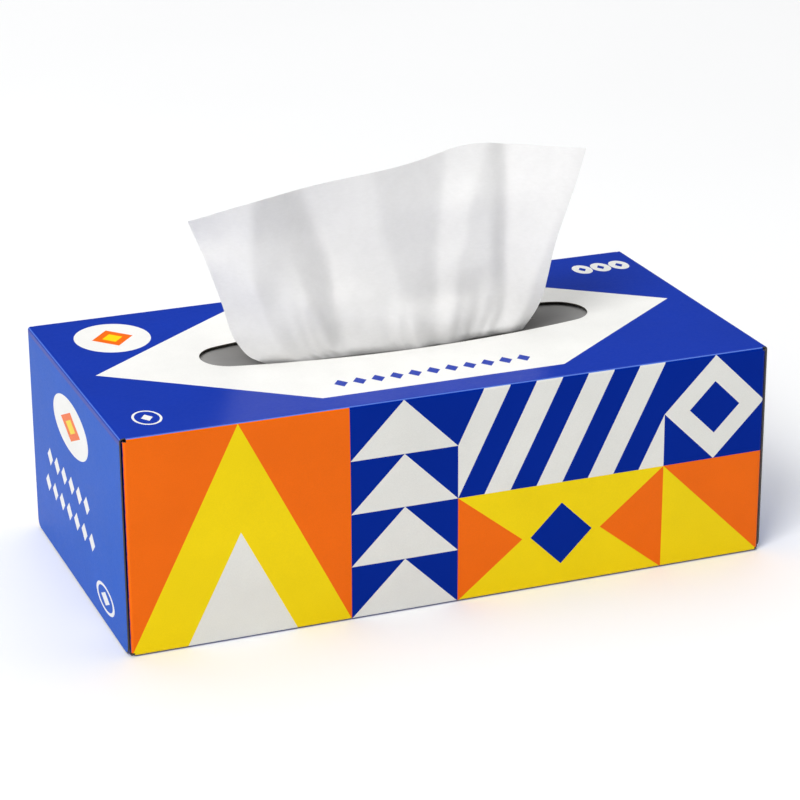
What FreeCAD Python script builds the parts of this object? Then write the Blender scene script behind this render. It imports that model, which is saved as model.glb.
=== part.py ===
import FreeCAD, Part
import math
import os

from FreeCAD import Vector

# Flat facial tissue carton with its contents, millimetres, +Z up.
# X runs along the long side, Y from the front panel to the back panel.
# Origin: centre of the base, on the surface that the carton stands on.

# ---------------------------------------------------------------- sizes
LEN = 234.0          # outside length, over the glued end flaps
WID = 119.0          # outside width
HGT = 77.0           # outside height of the carton
BOARD = 0.45         # folding boxboard caliper
GAP = 0.08           # glue line between two layers of board
FOLD_R = 1.10        # outside radius of a crease
FLAP_IN = 0.40       # how far an end flap's side edge stands in from the carton's side
FLAP_R = 3.0         # rounded free corners of the outer end flap
SEAM_H = 16.0        # glue flap of the lengthwise seam, inside the back panel
DUST_L = 48.0        # dust flaps, from the side panels
INNER_H = 62.0       # inner end flap, from the bottom panel

OPEN_A = 72.8        # dispensing opening, a four-centre oval: half its length
OPEN_B = 18.0        # half its width
OPEN_R = 11.0        # radius of its ends
OPEN_CX, OPEN_CY = 2.5, 2.5      # its centre, a little off the panel's middle

FILM_T = 0.06        # polyethylene film under the opening
FILM_X, FILM_Y = 88.0, 31.0      # half sizes of the glued film
DISH_X, DISH_Y = 79.0, 24.0      # half sizes of the loose middle at its rim
DISH_IN = 4.0                    # width of the slope between rim and middle
DISH_Z = 0.95                    # how far the loose middle hangs
SLIT_A, SLIT_B = 54.0, 3.6       # slit, spread open by the sheet: half length, half width

STACK_X, STACK_Y = 104.0, 53.5   # half sizes of the interfolded stack
STACK_TOP = 66.0                 # top of the stack above the base
STACK_R = 2.0                    # rounding of its folded edges

SHEET_T = 0.30       # bulk of the two-ply sheet, embossing included
SHEET_W = 205.0      # the sheet's width along the box
TAIL_T = 0.40        # its lower half, lying on the stack

# ------------------------------------------------------------- helpers


def box(x0, x1, y0, y1, z0, z1):
    x0, x1 = min(x0, x1), max(x0, x1)
    y0, y1 = min(y0, y1), max(y0, y1)
    z0, z1 = min(z0, z1), max(z0, z1)
    return Part.makeBox(x1 - x0, y1 - y0, z1 - z0, Vector(x0, y0, z0))


def sector(start, axis, length, first):
    """A quarter of a crease: a ring of board about an axis, from direction first, a quarter turn on."""
    outer = Part.makeCylinder(FOLD_R, length, Vector(0, 0, 0), Vector(0, 0, 1), 90)
    inner = Part.makeCylinder(FOLD_R - BOARD, length, Vector(0, 0, 0), Vector(0, 0, 1), 90)
    ring = outer.cut(inner)
    z = Vector(*axis)
    x = Vector(*first)
    y = z.cross(x)
    m = FreeCAD.Matrix(
        x.x, y.x, z.x, start[0],
        x.y, y.y, z.y, start[1],
        x.z, y.z, z.z, start[2],
        0, 0, 0, 1,
    )
    return ring.transformed(m)


def prism(points, direction):
    """A flat panel of board with a polygonal outline."""
    pts = [Vector(*p) for p in points]
    return Part.Face(Part.makePolygon(pts + [pts[0]])).extrude(Vector(*direction))


def fuse(shapes):
    whole = shapes[0].multiFuse(shapes[1:])
    whole = whole.removeSplitter()
    solids = whole.Solids
    assert len(solids) == 1, "the pieces don't meet: %d solids" % len(solids)
    return solids[0]


def oval(a, b, r):
    """Outline of a four-centre oval in the XY plane."""
    side = ((a - r) ** 2 + b * b - r * r) / (2 * (b - r))
    cx, cy = a - r, side - b
    d = math.hypot(cx, cy)
    tx, ty = cx + r * cx / d, r * cy / d
    arcs = [
        Part.Arc(Vector(-tx, ty, 0), Vector(0, b, 0), Vector(tx, ty, 0)),
        Part.Arc(Vector(tx, ty, 0), Vector(a, 0, 0), Vector(tx, -ty, 0)),
        Part.Arc(Vector(tx, -ty, 0), Vector(0, -b, 0), Vector(-tx, -ty, 0)),
        Part.Arc(Vector(-tx, -ty, 0), Vector(-a, 0, 0), Vector(-tx, ty, 0)),
    ]
    return Part.Wire([x.toShape() for x in arcs])


# -------------------------------------------------------------- carton
# One blank of board: back, top, front and bottom panels in a row, the glue flap inside the back
# panel, and four flaps at each end. Layers at each end, from the outside in: the flap of the top
# panel, the flap of the bottom panel, the two dust flaps of the front and back panels.
x3 = LEN / 2                      # outside face of the outer end flap
x2 = x3 - BOARD - GAP             # outside face of the inner end flap
x1 = x2 - BOARD - GAP             # outside face of the dust flaps
yo = WID / 2
yseam = yo - BOARD - GAP          # outside face of the glue flap
R, T = FOLD_R, BOARD
side_x = x1 - R                   # straight part of the front and back panels
pieces = [
    # top panel, with end strips as wide as its end flaps
    box(-side_x, side_x, -yo + R, yo - R, HGT - T, HGT),
    box(side_x, x3 - R, -yo + FLAP_IN, yo - FLAP_IN, HGT - T, HGT),
    box(-side_x, -x3 + R, -yo + FLAP_IN, yo - FLAP_IN, HGT - T, HGT),
    # front panel and its creases
    sector((-side_x, -yo + R, HGT - R), (1, 0, 0), 2 * side_x, (0, 0, 1)),
    box(-side_x, side_x, -yo, -yo + T, R, HGT - R),
    sector((-side_x, -yo + R, R), (1, 0, 0), 2 * side_x, (0, -1, 0)),
    # bottom panel and the glue flap
    box(-side_x, side_x, -yo + R, yseam - R, 0, T),
    sector((-side_x, yseam - R, R), (1, 0, 0), 2 * side_x, (0, 0, -1)),
    prism(
        [
            (-side_x, yseam - T, R),
            (side_x, yseam - T, R),
            (side_x - 3.0, yseam - T, SEAM_H),
            (-side_x + 3.0, yseam - T, SEAM_H),
        ],
        (0, T, 0),
    ),
    # back panel
    sector((-side_x, yo - R, HGT - R), (1, 0, 0), 2 * side_x, (0, 1, 0)),
    box(-side_x, side_x, yo - T, yo, 0.30, HGT - R),
]
for s in (-1, 1):
    # outer end flap, from the top panel, its free corners rounded
    width = WID - 2 * FLAP_IN
    start = (s * (x3 - R), -yo + FLAP_IN, HGT - R)
    pieces.append(sector(start, (0, 1, 0), width, (0, 0, 1) if s > 0 else (-1, 0, 0)))
    flap = box(s * (x3 - T), s * x3, -yo + FLAP_IN, yo - FLAP_IN, 0.5, HGT - R)
    low = [
        e for e in flap.Edges
        if abs(e.Vertexes[0].Z - 0.5) < 1e-6 and abs(e.Vertexes[1].Z - 0.5) < 1e-6
        and abs(e.Vertexes[0].Y - e.Vertexes[1].Y) < 1e-6
    ]
    pieces.append(flap.makeFillet(FLAP_R, low))
    # inner end flap, from the bottom panel
    y0, y1 = -yo + 1.2, yseam - 1.2
    pieces.append(box(s * side_x, s * (x2 - R), y0, y1, 0, T))
    pieces.append(sector((s * (x2 - R), y0, R), (0, 1, 0), y1 - y0, (1, 0, 0) if s > 0 else (0, 0, -1)))
    pieces.append(
        prism(
            [
                (s * (x2 - T), y0, R),
                (s * (x2 - T), y1, R),
                (s * (x2 - T), y1 - 2.0, INNER_H - 14.0),
                (s * (x2 - T), y1 - 12.0, INNER_H),
                (s * (x2 - T), y0 + 12.0, INNER_H),
                (s * (x2 - T), y0 + 2.0, INNER_H - 14.0),
            ],
            (s * T, 0, 0),
        )
    )
    # dust flaps, from the front and back panels
    for f in (-1, 1):
        z0, z1 = 1.6, HGT - 1.6
        # the crease stands upright at the end of the side panel, a quarter turn on from first
        first = (0, f, 0) if s != f else (s, 0, 0)
        pieces.append(sector((s * side_x, f * (yo - R), z0), (0, 0, 1), z1 - z0, first))
        ye = f * (yo - R)
        pieces.append(
            prism(
                [
                    (s * (x1 - T), ye, z0),
                    (s * (x1 - T), ye, z1),
                    (s * (x1 - T), ye - f * 6.0, z1 - 1.0),
                    (s * (x1 - T), ye - f * DUST_L, z1 - 9.0),
                    (s * (x1 - T), ye - f * DUST_L, z0 + 9.0),
                    (s * (x1 - T), ye - f * 6.0, z0 + 1.0),
                ],
                (s * T, 0, 0),
            )
        )
carton = fuse(pieces)
opening = Part.Face(oval(OPEN_A, OPEN_B, OPEN_R)).extrude(Vector(0, 0, 4 * T))
opening.translate(Vector(OPEN_CX, OPEN_CY, HGT - 2.5 * T))
carton = carton.cut(opening).removeSplitter().Solids[0]

# ---------------------------------------------------------------- film
# Thin clear film glued under the opening. Its middle hangs loose a little below the board, and its
# slit stands open round the gathered sheet.
under = HGT - T


def frustum(z_top, drop):
    a, b = (DISH_X, DISH_Y), (DISH_X - DISH_IN, DISH_Y - DISH_IN)
    rings = []
    for (x, y), z in ((a, z_top), (b, z_top - drop)):
        p = [Vector(-x, -y, z), Vector(x, -y, z), Vector(x, y, z), Vector(-x, y, z)]
        rings.append(Part.makePolygon(p + [p[0]]))
    return Part.makeLoft(rings, True, True)


lens = Part.Wire(
    [
        Part.Arc(Vector(-SLIT_A, 0, 0), Vector(0, SLIT_B, 0), Vector(SLIT_A, 0, 0)).toShape(),
        Part.Arc(Vector(SLIT_A, 0, 0), Vector(0, -SLIT_B, 0), Vector(-SLIT_A, 0, 0)).toShape(),
    ]
)
slit = Part.Face(lens).extrude(Vector(0, 0, 6))
slit.translate(Vector(0, 0, under - 4))
hollow = frustum(under, DISH_Z)
below = frustum(under - FILM_T, DISH_Z)
film = box(-FILM_X, FILM_X, -FILM_Y, FILM_Y, under - FILM_T, under)
film = film.fuse(below).cut(hollow).cut(slit).removeSplitter()
assert len(film.Solids) == 1
film = film.Solids[0]
film.translate(Vector(OPEN_CX, OPEN_CY, 0))

# --------------------------------------------------------------- stack
stack = box(-STACK_X, STACK_X, -STACK_Y, STACK_Y, T, STACK_TOP)
long_edges = [e for e in stack.Edges if abs(e.Vertexes[0].X - e.Vertexes[1].X) > 10]
stack = stack.makeFillet(STACK_R, long_edges)

# --------------------------------------------------------------- sheet
# The sheet that is pulled half way out: gathered in the slit, leaning on the front of the opening,
# fanned out above it in soft pleats, and its lower half lying flat on the stack.
# Rows of the control net: height, left end, right end, middle in Y, half depth of the pleats, share
# of the fine pleats of the gather. The rows above TOP_FROM rise with the top edge.
ROWS = [
    (66.20, -47.0, 47.0, OPEN_CY, 0.8, 1.0),
    (70.50, -47.6, 47.6, OPEN_CY, 1.0, 1.0),
    (74.60, -48.4, 48.4, OPEN_CY, 1.6, 1.0),
    (76.20, -49.0, 49.0, OPEN_CY, 1.8, 0.95),
    (77.60, -50.6, 50.4, OPEN_CY - 0.8, 2.0, 0.90),
    (80.20, -56.2, 55.0, -8.0, 2.6, 0.65),
    (87.00, -59.6, 57.8, -7.8, 3.8, 0.45),
    (96.00, -62.6, 60.6, -6.2, 4.6, 0.35),
    (107.0, -66.0, 63.6, -4.4, 5.4, 0.28),
    (118.0, -69.8, 67.0, -3.2, 5.4, 0.22),
    (129.0, -73.4, 70.6, -2.4, 5.0, 0.18),
    (None, -74.0, 73.4, -1.8, 4.8, 0.16),
]
TOP_FROM = 107.0
TOP_EDGE = [(-74.0, 127.8), (-59.0, 129.8), (-47.5, 132.2), (-33.8, 134.0), (-15.6, 136.0),
            (2.8, 139.0), (17.7, 142.2), (29.0, 143.8), (40.3, 143.0), (55.6, 140.6), (73.4, 137.6)]
COLUMNS = 41


def top_z(x):
    for (xa, za), (xb, zb) in zip(TOP_EDGE, TOP_EDGE[1:]):
        if x <= xb:
            return za + (zb - za) * max(0.0, (x - xa) / (xb - xa))
    return TOP_EDGE[-1][1]


def pleat(u, fine):
    """Depth of the pleats across the sheet, from -1 to 1; u runs from 0 to 1."""
    broad = 0.62 * math.sin(2 * math.pi * (3.1 * u + 0.18))
    broad += 0.38 * math.sin(2 * math.pi * (5.3 * u + 0.61))
    small = math.sin(2 * math.pi * (8.0 * u + 0.25))
    return (1 - 0.6 * fine) * broad + 0.6 * fine * small


net = []
for z, xl, xr, mid, deep, fine in ROWS:
    row = []
    for i in range(COLUMNS):
        u = i / (COLUMNS - 1)
        x = xl + (xr - xl) * u
        y = deep * pleat(u, fine) * min(1.0, 9.0 * min(u, 1 - u) + 0.02)
        if z is None:
            h = top_z(x)
        elif z > TOP_FROM:
            h = TOP_FROM + (z - TOP_FROM) * (top_z(x) - TOP_FROM) / 32.0
        else:
            h = z
        if h < 76:
            room = SLIT_B * (1 - ((x - OPEN_CX) / SLIT_A) ** 2) - 0.30
            y = max(-room, min(room, y))
        row.append(Vector(x, mid + y - SHEET_T / 2, h))
    net.append(row)
surface = Part.BSplineSurface()
surface.buildFromPolesMultsKnots(
    net,
    [4] + [1] * (len(ROWS) - 4) + [4],
    [4] + [1] * (COLUMNS - 4) + [4],
    list(range(len(ROWS) - 2)),
    list(range(COLUMNS - 2)),
    False, False, 3, 3,
)
upper = surface.toShape().extrude(Vector(0, SHEET_T, 0))
if upper.ShapeType != "Solid":
    upper = upper.Solids[0]
tail = box(-SHEET_W / 2 + 1, SHEET_W / 2 - 1, -STACK_Y + 2, STACK_Y - 4, STACK_TOP, STACK_TOP + TAIL_T)
sheet = fuse([upper, tail])

# -------------------------------------------------------------- export
os.makedirs("parts", exist_ok=True)
PARTS = {
    "carton": carton,
    "slit_film": film,
    "pulled_tissue": sheet,
    "tissue_stack": stack,
}
for name, shape in PARTS.items():
    bb = shape.BoundBox
    print(
        "%-14s solids %d valid %s closed %s volume %.1f mm3  x %.2f..%.2f y %.2f..%.2f z %.2f..%.2f"
        % (name, len(shape.Solids), shape.isValid(), shape.isClosed(), shape.Volume,
           bb.XMin, bb.XMax, bb.YMin, bb.YMax, bb.ZMin, bb.ZMax)
    )
    shape.exportStep("parts/%s.step" % name)
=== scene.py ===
import math

import bpy
import numpy as np
from mathutils import Matrix, Vector, noise
from mathutils.geometry import delaunay_2d_cdt


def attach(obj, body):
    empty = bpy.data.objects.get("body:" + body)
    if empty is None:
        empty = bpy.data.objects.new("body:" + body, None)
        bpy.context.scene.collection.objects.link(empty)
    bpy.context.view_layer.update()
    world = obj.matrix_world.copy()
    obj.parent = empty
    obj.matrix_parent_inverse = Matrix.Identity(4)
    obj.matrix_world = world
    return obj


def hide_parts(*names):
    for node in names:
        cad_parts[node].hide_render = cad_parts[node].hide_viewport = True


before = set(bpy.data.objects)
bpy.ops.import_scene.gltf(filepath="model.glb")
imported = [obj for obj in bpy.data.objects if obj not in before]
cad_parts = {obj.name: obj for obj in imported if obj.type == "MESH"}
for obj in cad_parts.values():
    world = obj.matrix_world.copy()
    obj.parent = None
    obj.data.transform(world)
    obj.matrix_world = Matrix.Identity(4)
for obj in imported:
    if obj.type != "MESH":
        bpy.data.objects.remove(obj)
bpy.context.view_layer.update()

MM = 0.001

# =====================================================================
# sizes, in millimetres, the same as the folding carton's own
# =====================================================================
LEN, WID, HGT = 234.0, 119.0, 77.0
BOARD, GAP, R = 0.45, 0.08, 1.10
FLAP_IN, FLAP_R = 0.90, 3.0
SEAM_H, DUST_L, INNER_H = 16.0, 48.0, 62.0
OPEN_A, OPEN_B, OPEN_R = 72.8, 18.0, 11.0
OPEN_CX, OPEN_CY = 2.5, 2.5
SLIT_A, SLIT_B = 54.0, 3.6
STACK_X, STACK_Y, STACK_TOP = 104.0, 53.5, 66.0

X3 = LEN / 2
X2 = X3 - BOARD - GAP
X1 = X2 - BOARD - GAP
YO = WID / 2
YS = YO - BOARD - GAP
SIDE = X1 - R

# =====================================================================
# camera
# =====================================================================
AZ, EL = math.radians(21.3126), math.radians(20.8039)
cam_data = bpy.data.cameras.new("camera")
cam_data.sensor_width = 36.0
cam_data.lens = 124.64
cam_data.clip_start = 0.05
cam_data.clip_end = 50.0
camera = bpy.data.objects.new("camera", cam_data)
bpy.context.scene.collection.objects.link(camera)
RIGHT = Vector((0.9309, -0.3651, -0.0048))
DOWN = Vector((-0.1339, -0.3290, -0.9348))
FWD = RIGHT.cross(DOWN).normalized()
UP = -DOWN.normalized()
RIGHT = FWD.cross(UP).normalized()
CAM = Vector((-0.3323, -0.8580, 0.4026))
camera.matrix_world = Matrix.Translation(CAM) @ Matrix((RIGHT, UP, -FWD)).transposed().to_4x4()
bpy.context.scene.camera = camera


# =====================================================================
# small numeric helpers
# =====================================================================
def smoothstep(a, b, x):
    t = np.clip((np.asarray(x, float) - a) / (b - a), 0, 1)
    return t * t * (3 - 2 * t)


def pchip(xs, ys, x):
    """Monotone cubic through the points, straight beyond the ends."""
    xs, ys = np.asarray(xs, float), np.asarray(ys, float)
    x = np.asarray(x, float)
    h = np.diff(xs)
    d = np.diff(ys) / h
    m = np.zeros_like(ys)
    m[0], m[-1] = d[0], d[-1]
    for i in range(1, len(xs) - 1):
        if d[i - 1] * d[i] > 0:
            w1, w2 = 2 * h[i] + h[i - 1], h[i] + 2 * h[i - 1]
            m[i] = (w1 + w2) / (w1 / d[i - 1] + w2 / d[i])
    i = np.clip(np.searchsorted(xs, x) - 1, 0, len(h) - 1)
    t = (x - xs[i]) / h[i]
    out = (
        ys[i] * (1 + 2 * t) * (1 - t) ** 2
        + h[i] * m[i] * t * (1 - t) ** 2
        + ys[i + 1] * t * t * (3 - 2 * t)
        + h[i] * m[i + 1] * t * t * (t - 1)
    )
    out = np.where(x < xs[0], ys[0] + m[0] * (x - xs[0]), out)
    return np.where(x > xs[-1], ys[-1] + m[-1] * (x - xs[-1]), out)


def inside(poly, p):
    """Even-odd test of many points against one polygon."""
    poly, p = np.asarray(poly, float), np.asarray(p, float)
    x, y = p[:, 0], p[:, 1]
    hit = np.zeros(len(p), bool)
    n = len(poly)
    for i in range(n):
        x0, y0 = poly[i]
        x1, y1 = poly[(i + 1) % n]
        if y0 == y1:
            continue
        cross = ((y0 > y) != (y1 > y)) & (x < (x1 - x0) * (y - y0) / (y1 - y0) + x0)
        hit ^= cross
    return hit


def ellipse(cx, cy, a, b, n=72, turn=0.0):
    t = np.arange(n) * 2 * math.pi / n
    c, s = math.cos(turn), math.sin(turn)
    px, py = a * np.cos(t), b * np.sin(t)
    return np.c_[cx + px * c - py * s, cy + px * s + py * c]


def four_centre_oval(a, b, r, n_end=16, n_side=56):
    side = ((a - r) ** 2 + b * b - r * r) / (2 * (b - r))
    cx, cy = a - r, side - b
    d = math.hypot(cx, cy)
    tx, ty = cx + r * cx / d, r * cy / d
    pts = []
    t0 = math.atan2(ty, tx - cx)
    for k in range(n_end):
        t = -t0 + 2 * t0 * k / n_end
        pts.append((cx + r * math.cos(t), r * math.sin(t)))
    a0, a1 = math.atan2(ty + cy, tx), math.atan2(ty + cy, -tx)
    for k in range(n_side):
        t = a0 + (a1 - a0) * k / n_side
        pts.append((side * math.cos(t), side * math.sin(t) - cy))
    half = np.array(pts)
    return np.vstack([half, -half])


def clip_segment(p, q, rect):
    """The part of pq inside (x0, y0, x1, y1), or None."""
    x0, y0, x1, y1 = rect
    dx, dy = q[0] - p[0], q[1] - p[1]
    t0, t1 = 0.0, 1.0
    for a, b in ((-dx, p[0] - x0), (dx, x1 - p[0]), (-dy, p[1] - y0), (dy, y1 - p[1])):
        if abs(a) < 1e-12:
            if b < 0:
                return None
            continue
        t = b / a
        if a < 0:
            t0 = max(t0, t)
        else:
            t1 = min(t1, t)
    if t1 - t0 < 1e-9:
        return None
    return ((p[0] + dx * t0, p[1] + dy * t0), (p[0] + dx * t1, p[1] + dy * t1))


class Plan:
    """A flat drawing that is triangulated: outlines, fold lines, colour edges and a loose grid of points."""

    def __init__(self):
        self.v, self.e = [], []

    def path(self, pts, closed=False, step=None):
        pts = [tuple(map(float, p)) for p in pts]
        if closed:
            pts = pts + [pts[0]]
        chain = [pts[0]]
        for p, q in zip(pts, pts[1:]):
            n = 1 if step is None else max(1, int(round(math.dist(p, q) / step)))
            for k in range(1, n + 1):
                chain.append((p[0] + (q[0] - p[0]) * k / n, p[1] + (q[1] - p[1]) * k / n))
        base = len(self.v)
        self.v += chain
        self.e += [(base + i, base + i + 1) for i in range(len(chain) - 1)]

    def grid(self, x0, x1, y0, y1, step, keep, clear=1.0):
        nx, ny = max(1, round((x1 - x0) / step)), max(1, round((y1 - y0) / step))
        gx = x0 + (np.arange(nx) + 0.5) * (x1 - x0) / nx
        gy = y0 + (np.arange(ny) + 0.5) * (y1 - y0) / ny
        p = np.array(np.meshgrid(gx, gy)).reshape(2, -1).T
        p = p[keep(p)]
        seg = np.array([(*self.v[a], *self.v[b]) for a, b in self.e])
        near = np.full(len(p), 1e9)
        for i in range(0, len(seg), 400):
            s = seg[i : i + 400]
            ax, ay, bx, by = s.T
            dx, dy = bx - ax, by - ay
            ll = np.maximum(dx * dx + dy * dy, 1e-12)
            t = np.clip(((p[:, :1] - ax) * dx + (p[:, 1:] - ay) * dy) / ll, 0, 1)
            d = np.hypot(p[:, :1] - ax - t * dx, p[:, 1:] - ay - t * dy).min(axis=1)
            near = np.minimum(near, d)
        self.v += [tuple(q) for q in p[near > clear]]

    def triangles(self, keep):
        """Vertices and triangles, anticlockwise, that keep(centres) accepts."""
        got = delaunay_2d_cdt([Vector(p) for p in self.v], self.e, [], 0, 1e-5, False)
        v = np.array([tuple(p) for p in got[0]])
        f = np.array([tuple(t) for t in got[2] if len(t) == 3])
        a, b, c = v[f[:, 0]], v[f[:, 1]], v[f[:, 2]]
        area = (b[:, 0] - a[:, 0]) * (c[:, 1] - a[:, 1]) - (b[:, 1] - a[:, 1]) * (c[:, 0] - a[:, 0])
        f = np.where((area < 0)[:, None], f[:, ::-1], f)
        f = f[np.abs(area) > 1e-7]
        mid = v[f].mean(axis=1)
        f = f[keep(mid)]
        used = np.unique(f)
        to = np.full(len(v), -1)
        to[used] = np.arange(len(used))
        return v[used], to[f]


def make_object(name, verts, faces, mats, which=None, smooth=True, sharp=None):
    """verts in millimetres; faces as arrays of triangles or quads."""
    me = bpy.data.meshes.new(name)
    me.from_pydata((np.asarray(verts) * MM).tolist(), [], [list(map(int, f)) for f in faces])
    for m in mats:
        me.materials.append(m)
    if which is not None:
        me.polygons.foreach_set("material_index", np.asarray(which, np.int32))
    me.polygons.foreach_set("use_smooth", np.full(len(me.polygons), smooth))
    if sharp is not None:
        pairs = {tuple(sorted(map(int, e))) for e in sharp}
        flags = np.array([tuple(sorted(e.vertices)) in pairs for e in me.edges])
        att = me.attributes.get("sharp_edge") or me.attributes.new("sharp_edge", "BOOLEAN", "EDGE")
        att.data.foreach_set("value", flags)
    me.update()
    me.validate()
    ob = bpy.data.objects.new(name, me)
    bpy.context.scene.collection.objects.link(ob)
    return ob


def boundary(faces):
    """Directed edges that belong to one face only."""
    seen = {}
    for f in faces:
        f = [int(i) for i in f]
        for a, b in zip(f, f[1:] + f[:1]):
            seen[(a, b)] = seen.get((a, b), 0) + 1
    return [e for e in seen if (e[1], e[0]) not in seen]


def give_thickness(verts, normals, faces, t, which, back_slot, rim_slot):
    """A closed sheet of board: the face side as it is, the back t behind it, and the cut edge between."""
    n = len(verts)
    v = np.vstack([verts, verts - normals * t])
    rim = boundary(faces)
    out = [tuple(f) for f in faces] + [tuple(int(i) + n for i in f[::-1]) for f in faces]
    out += [(b, a, a + n, b + n) for a, b in rim]
    slots = np.concatenate([which, np.full(len(faces), back_slot), np.full(len(rim), rim_slot)])
    sharp = [e for e in rim] + [(a + n, b + n) for a, b in rim]
    return v, out, slots, sharp


# =====================================================================
# materials
# =====================================================================
def rgb(r, g, b):
    def lin(c):
        c /= 255.0
        return c / 12.92 if c <= 0.04045 else ((c + 0.055) / 1.055) ** 2.4

    return (lin(r), lin(g), lin(b), 1.0)


class Nodes:
    def __init__(self, name):
        self.m = bpy.data.materials.new(name)
        self.m.use_nodes = True
        self.t = self.m.node_tree
        self.t.nodes.clear()
        self.out = self.t.nodes.new("ShaderNodeOutputMaterial")
        self.bsdf = self.t.nodes.new("ShaderNodeBsdfPrincipled")
        self.t.links.new(self.bsdf.outputs[0], self.out.inputs[0])
        self.co = self.t.nodes.new("ShaderNodeTexCoord").outputs["Object"]

    def add(self, kind, **values):
        n = self.t.nodes.new(kind)
        for k, v in values.items():
            if hasattr(n, k) and k not in n.inputs:
                setattr(n, k, v)
            else:
                n.inputs[k].default_value = v
        return n

    def link(self, a, b):
        self.t.links.new(a, b)

    def stretch(self, scale):
        n = self.add("ShaderNodeMapping")
        n.inputs["Scale"].default_value = scale
        self.link(self.co, n.inputs["Vector"])
        return n.outputs[0]

    def noise(self, scale, detail=3.0, rough=0.5, vector=None, distortion=0.0):
        n = self.add("ShaderNodeTexNoise", Scale=scale, Detail=detail, Roughness=rough, Distortion=distortion)
        self.link(vector or self.co, n.inputs["Vector"])
        return n.outputs["Fac"]

    def ramp(self, fac, lo, hi, a, b):
        n = self.add("ShaderNodeMapRange")
        n.inputs["From Min"].default_value = lo
        n.inputs["From Max"].default_value = hi
        n.inputs["To Min"].default_value = a
        n.inputs["To Max"].default_value = b
        self.link(fac, n.inputs["Value"])
        return n.outputs["Result"]

    def mix(self, fac, a, b):
        n = self.add("ShaderNodeMix", data_type="RGBA")
        self.link(fac, n.inputs[0])
        for s, c in ((6, a), (7, b)):
            if isinstance(c, tuple):
                n.inputs[s].default_value = c
            else:
                self.link(c, n.inputs[s])
        return n.outputs[2]

    def maths(self, op, a, b):
        n = self.add("ShaderNodeMath", operation=op)
        for s, c in ((0, a), (1, b)):
            if isinstance(c, (int, float)):
                n.inputs[s].default_value = c
            else:
                self.link(c, n.inputs[s])
        return n.outputs[0]

    def bump(self, height, distance, strength=1.0, under=None):
        n = self.add("ShaderNodeBump", Strength=strength, Distance=distance)
        self.link(height, n.inputs["Height"])
        if under is not None:
            self.link(under, n.inputs["Normal"])
        self.link(n.outputs[0], self.bsdf.inputs["Normal"])
        return n.outputs[0]


def shade(c, k):
    return (min(1.0, c[0] * k), min(1.0, c[1] * k), min(1.0, c[2] * k), 1.0)


def ink(name, colour, rough=0.33, specular=0.12):
    """Offset print under a gloss varnish on coated board."""
    n = Nodes(name)
    cloud = n.noise(38.0, 4.0, 0.55)
    speck = n.noise(2600.0, 2.0, 0.6)
    both = n.maths("ADD", n.maths("MULTIPLY", cloud, 0.55), n.maths("MULTIPLY", speck, 0.45))
    fac = n.ramp(both, 0.36, 0.64, 0.0, 1.0)
    n.link(n.mix(fac, shade(colour, 0.955), shade(colour, 1.04)), n.bsdf.inputs["Base Color"])
    fibre = n.noise(900.0, 4.0, 0.6, n.stretch((1.0, 2.2, 2.2)))
    n.link(n.ramp(fibre, 0.3, 0.7, rough - 0.04, rough + 0.06), n.bsdf.inputs["Roughness"])
    n.bsdf.inputs["Specular IOR Level"].default_value = specular
    low = n.bump(n.noise(130.0, 2.0, 0.5), 0.00010, 0.5)
    n.bump(fibre, 0.000025, 0.55, low)
    return n.m


def bare_board(name, colour, k=0.1):
    """Unprinted board: short fibres and specks."""
    n = Nodes(name)
    fibre = n.noise(1500.0, 5.0, 0.65, n.stretch((1.0, 3.0, 3.0)))
    speck = n.noise(420.0, 3.0, 0.7)
    both = n.maths("ADD", n.maths("MULTIPLY", fibre, 0.6), n.maths("MULTIPLY", speck, 0.4))
    fac = n.ramp(both, 0.38, 0.62, 0.0, 1.0)
    n.link(n.mix(fac, shade(colour, 1 - k), shade(colour, 1 + k)), n.bsdf.inputs["Base Color"])
    n.link(n.ramp(fibre, 0.3, 0.7, 0.72, 0.9), n.bsdf.inputs["Roughness"])
    n.bsdf.inputs["Specular IOR Level"].default_value = 0.25
    n.bump(fibre, 0.00004, 0.6)
    return n.m


M_BLUE = ink("ink_blue", rgb(0, 50, 170))
M_WHITE = ink("ink_free_white", rgb(246, 245, 241), 0.42, 0.3)
M_ORANGE = ink("ink_orange", rgb(248, 109, 0))
M_YELLOW = ink("ink_yellow", rgb(249, 219, 0))
M_LIGHT = ink("ink_light_grey", rgb(235, 235, 230), 0.40)
# lighter copy of the top's blue for the outer end flaps: painted sheen, the ends' lighter look under the light
M_BLUE_END_PAINTED_SHEEN = ink("ink_blue_ends_painted_sheen", rgb(1, 88, 198), 0.33, 0.034)
# darker copy of the top's blue for the long sides: painted shade on the upright sides
M_BLUE_SIDE_PAINTED_SHADE = ink("ink_blue_sides_painted_shade", rgb(0, 40, 150), 0.33, 0.03)
# lighter blue for the backs of the creases: painted highlight
M_CREASE_HIGHLIGHT = ink("ink_blue_painted_crease_highlight", rgb(84, 120, 212))
M_LINER = bare_board("board_unprinted", rgb(232, 230, 224), 0.05)
M_GREY = bare_board("board_grey_back", rgb(150, 147, 140), 0.12)
# cut edge of the board: a grey-brown core, darkened further as painted shade for the dark lines in the gaps at flap
# edges and along the opening's rim
M_CORE_AND_SHADE = bare_board("board_cut_edge_and_painted_shade", rgb(84, 79, 73), 0.2)
PRINTS = [M_BLUE, M_WHITE, M_ORANGE, M_YELLOW, M_LIGHT, M_LINER, M_GREY, M_CORE_AND_SHADE, M_BLUE_END_PAINTED_SHEEN, M_CREASE_HIGHLIGHT,
          M_BLUE_SIDE_PAINTED_SHADE]
I_BLUE, I_WHITE, I_ORANGE, I_YELLOW, I_LIGHT, I_LINER, I_GREY, I_CORE_AND_SHADE, I_BLUE_END_PAINTED_SHEEN, I_CREASE_HIGHLIGHT, I_BLUE_SIDE_PAINTED_SHADE = range(11)


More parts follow.
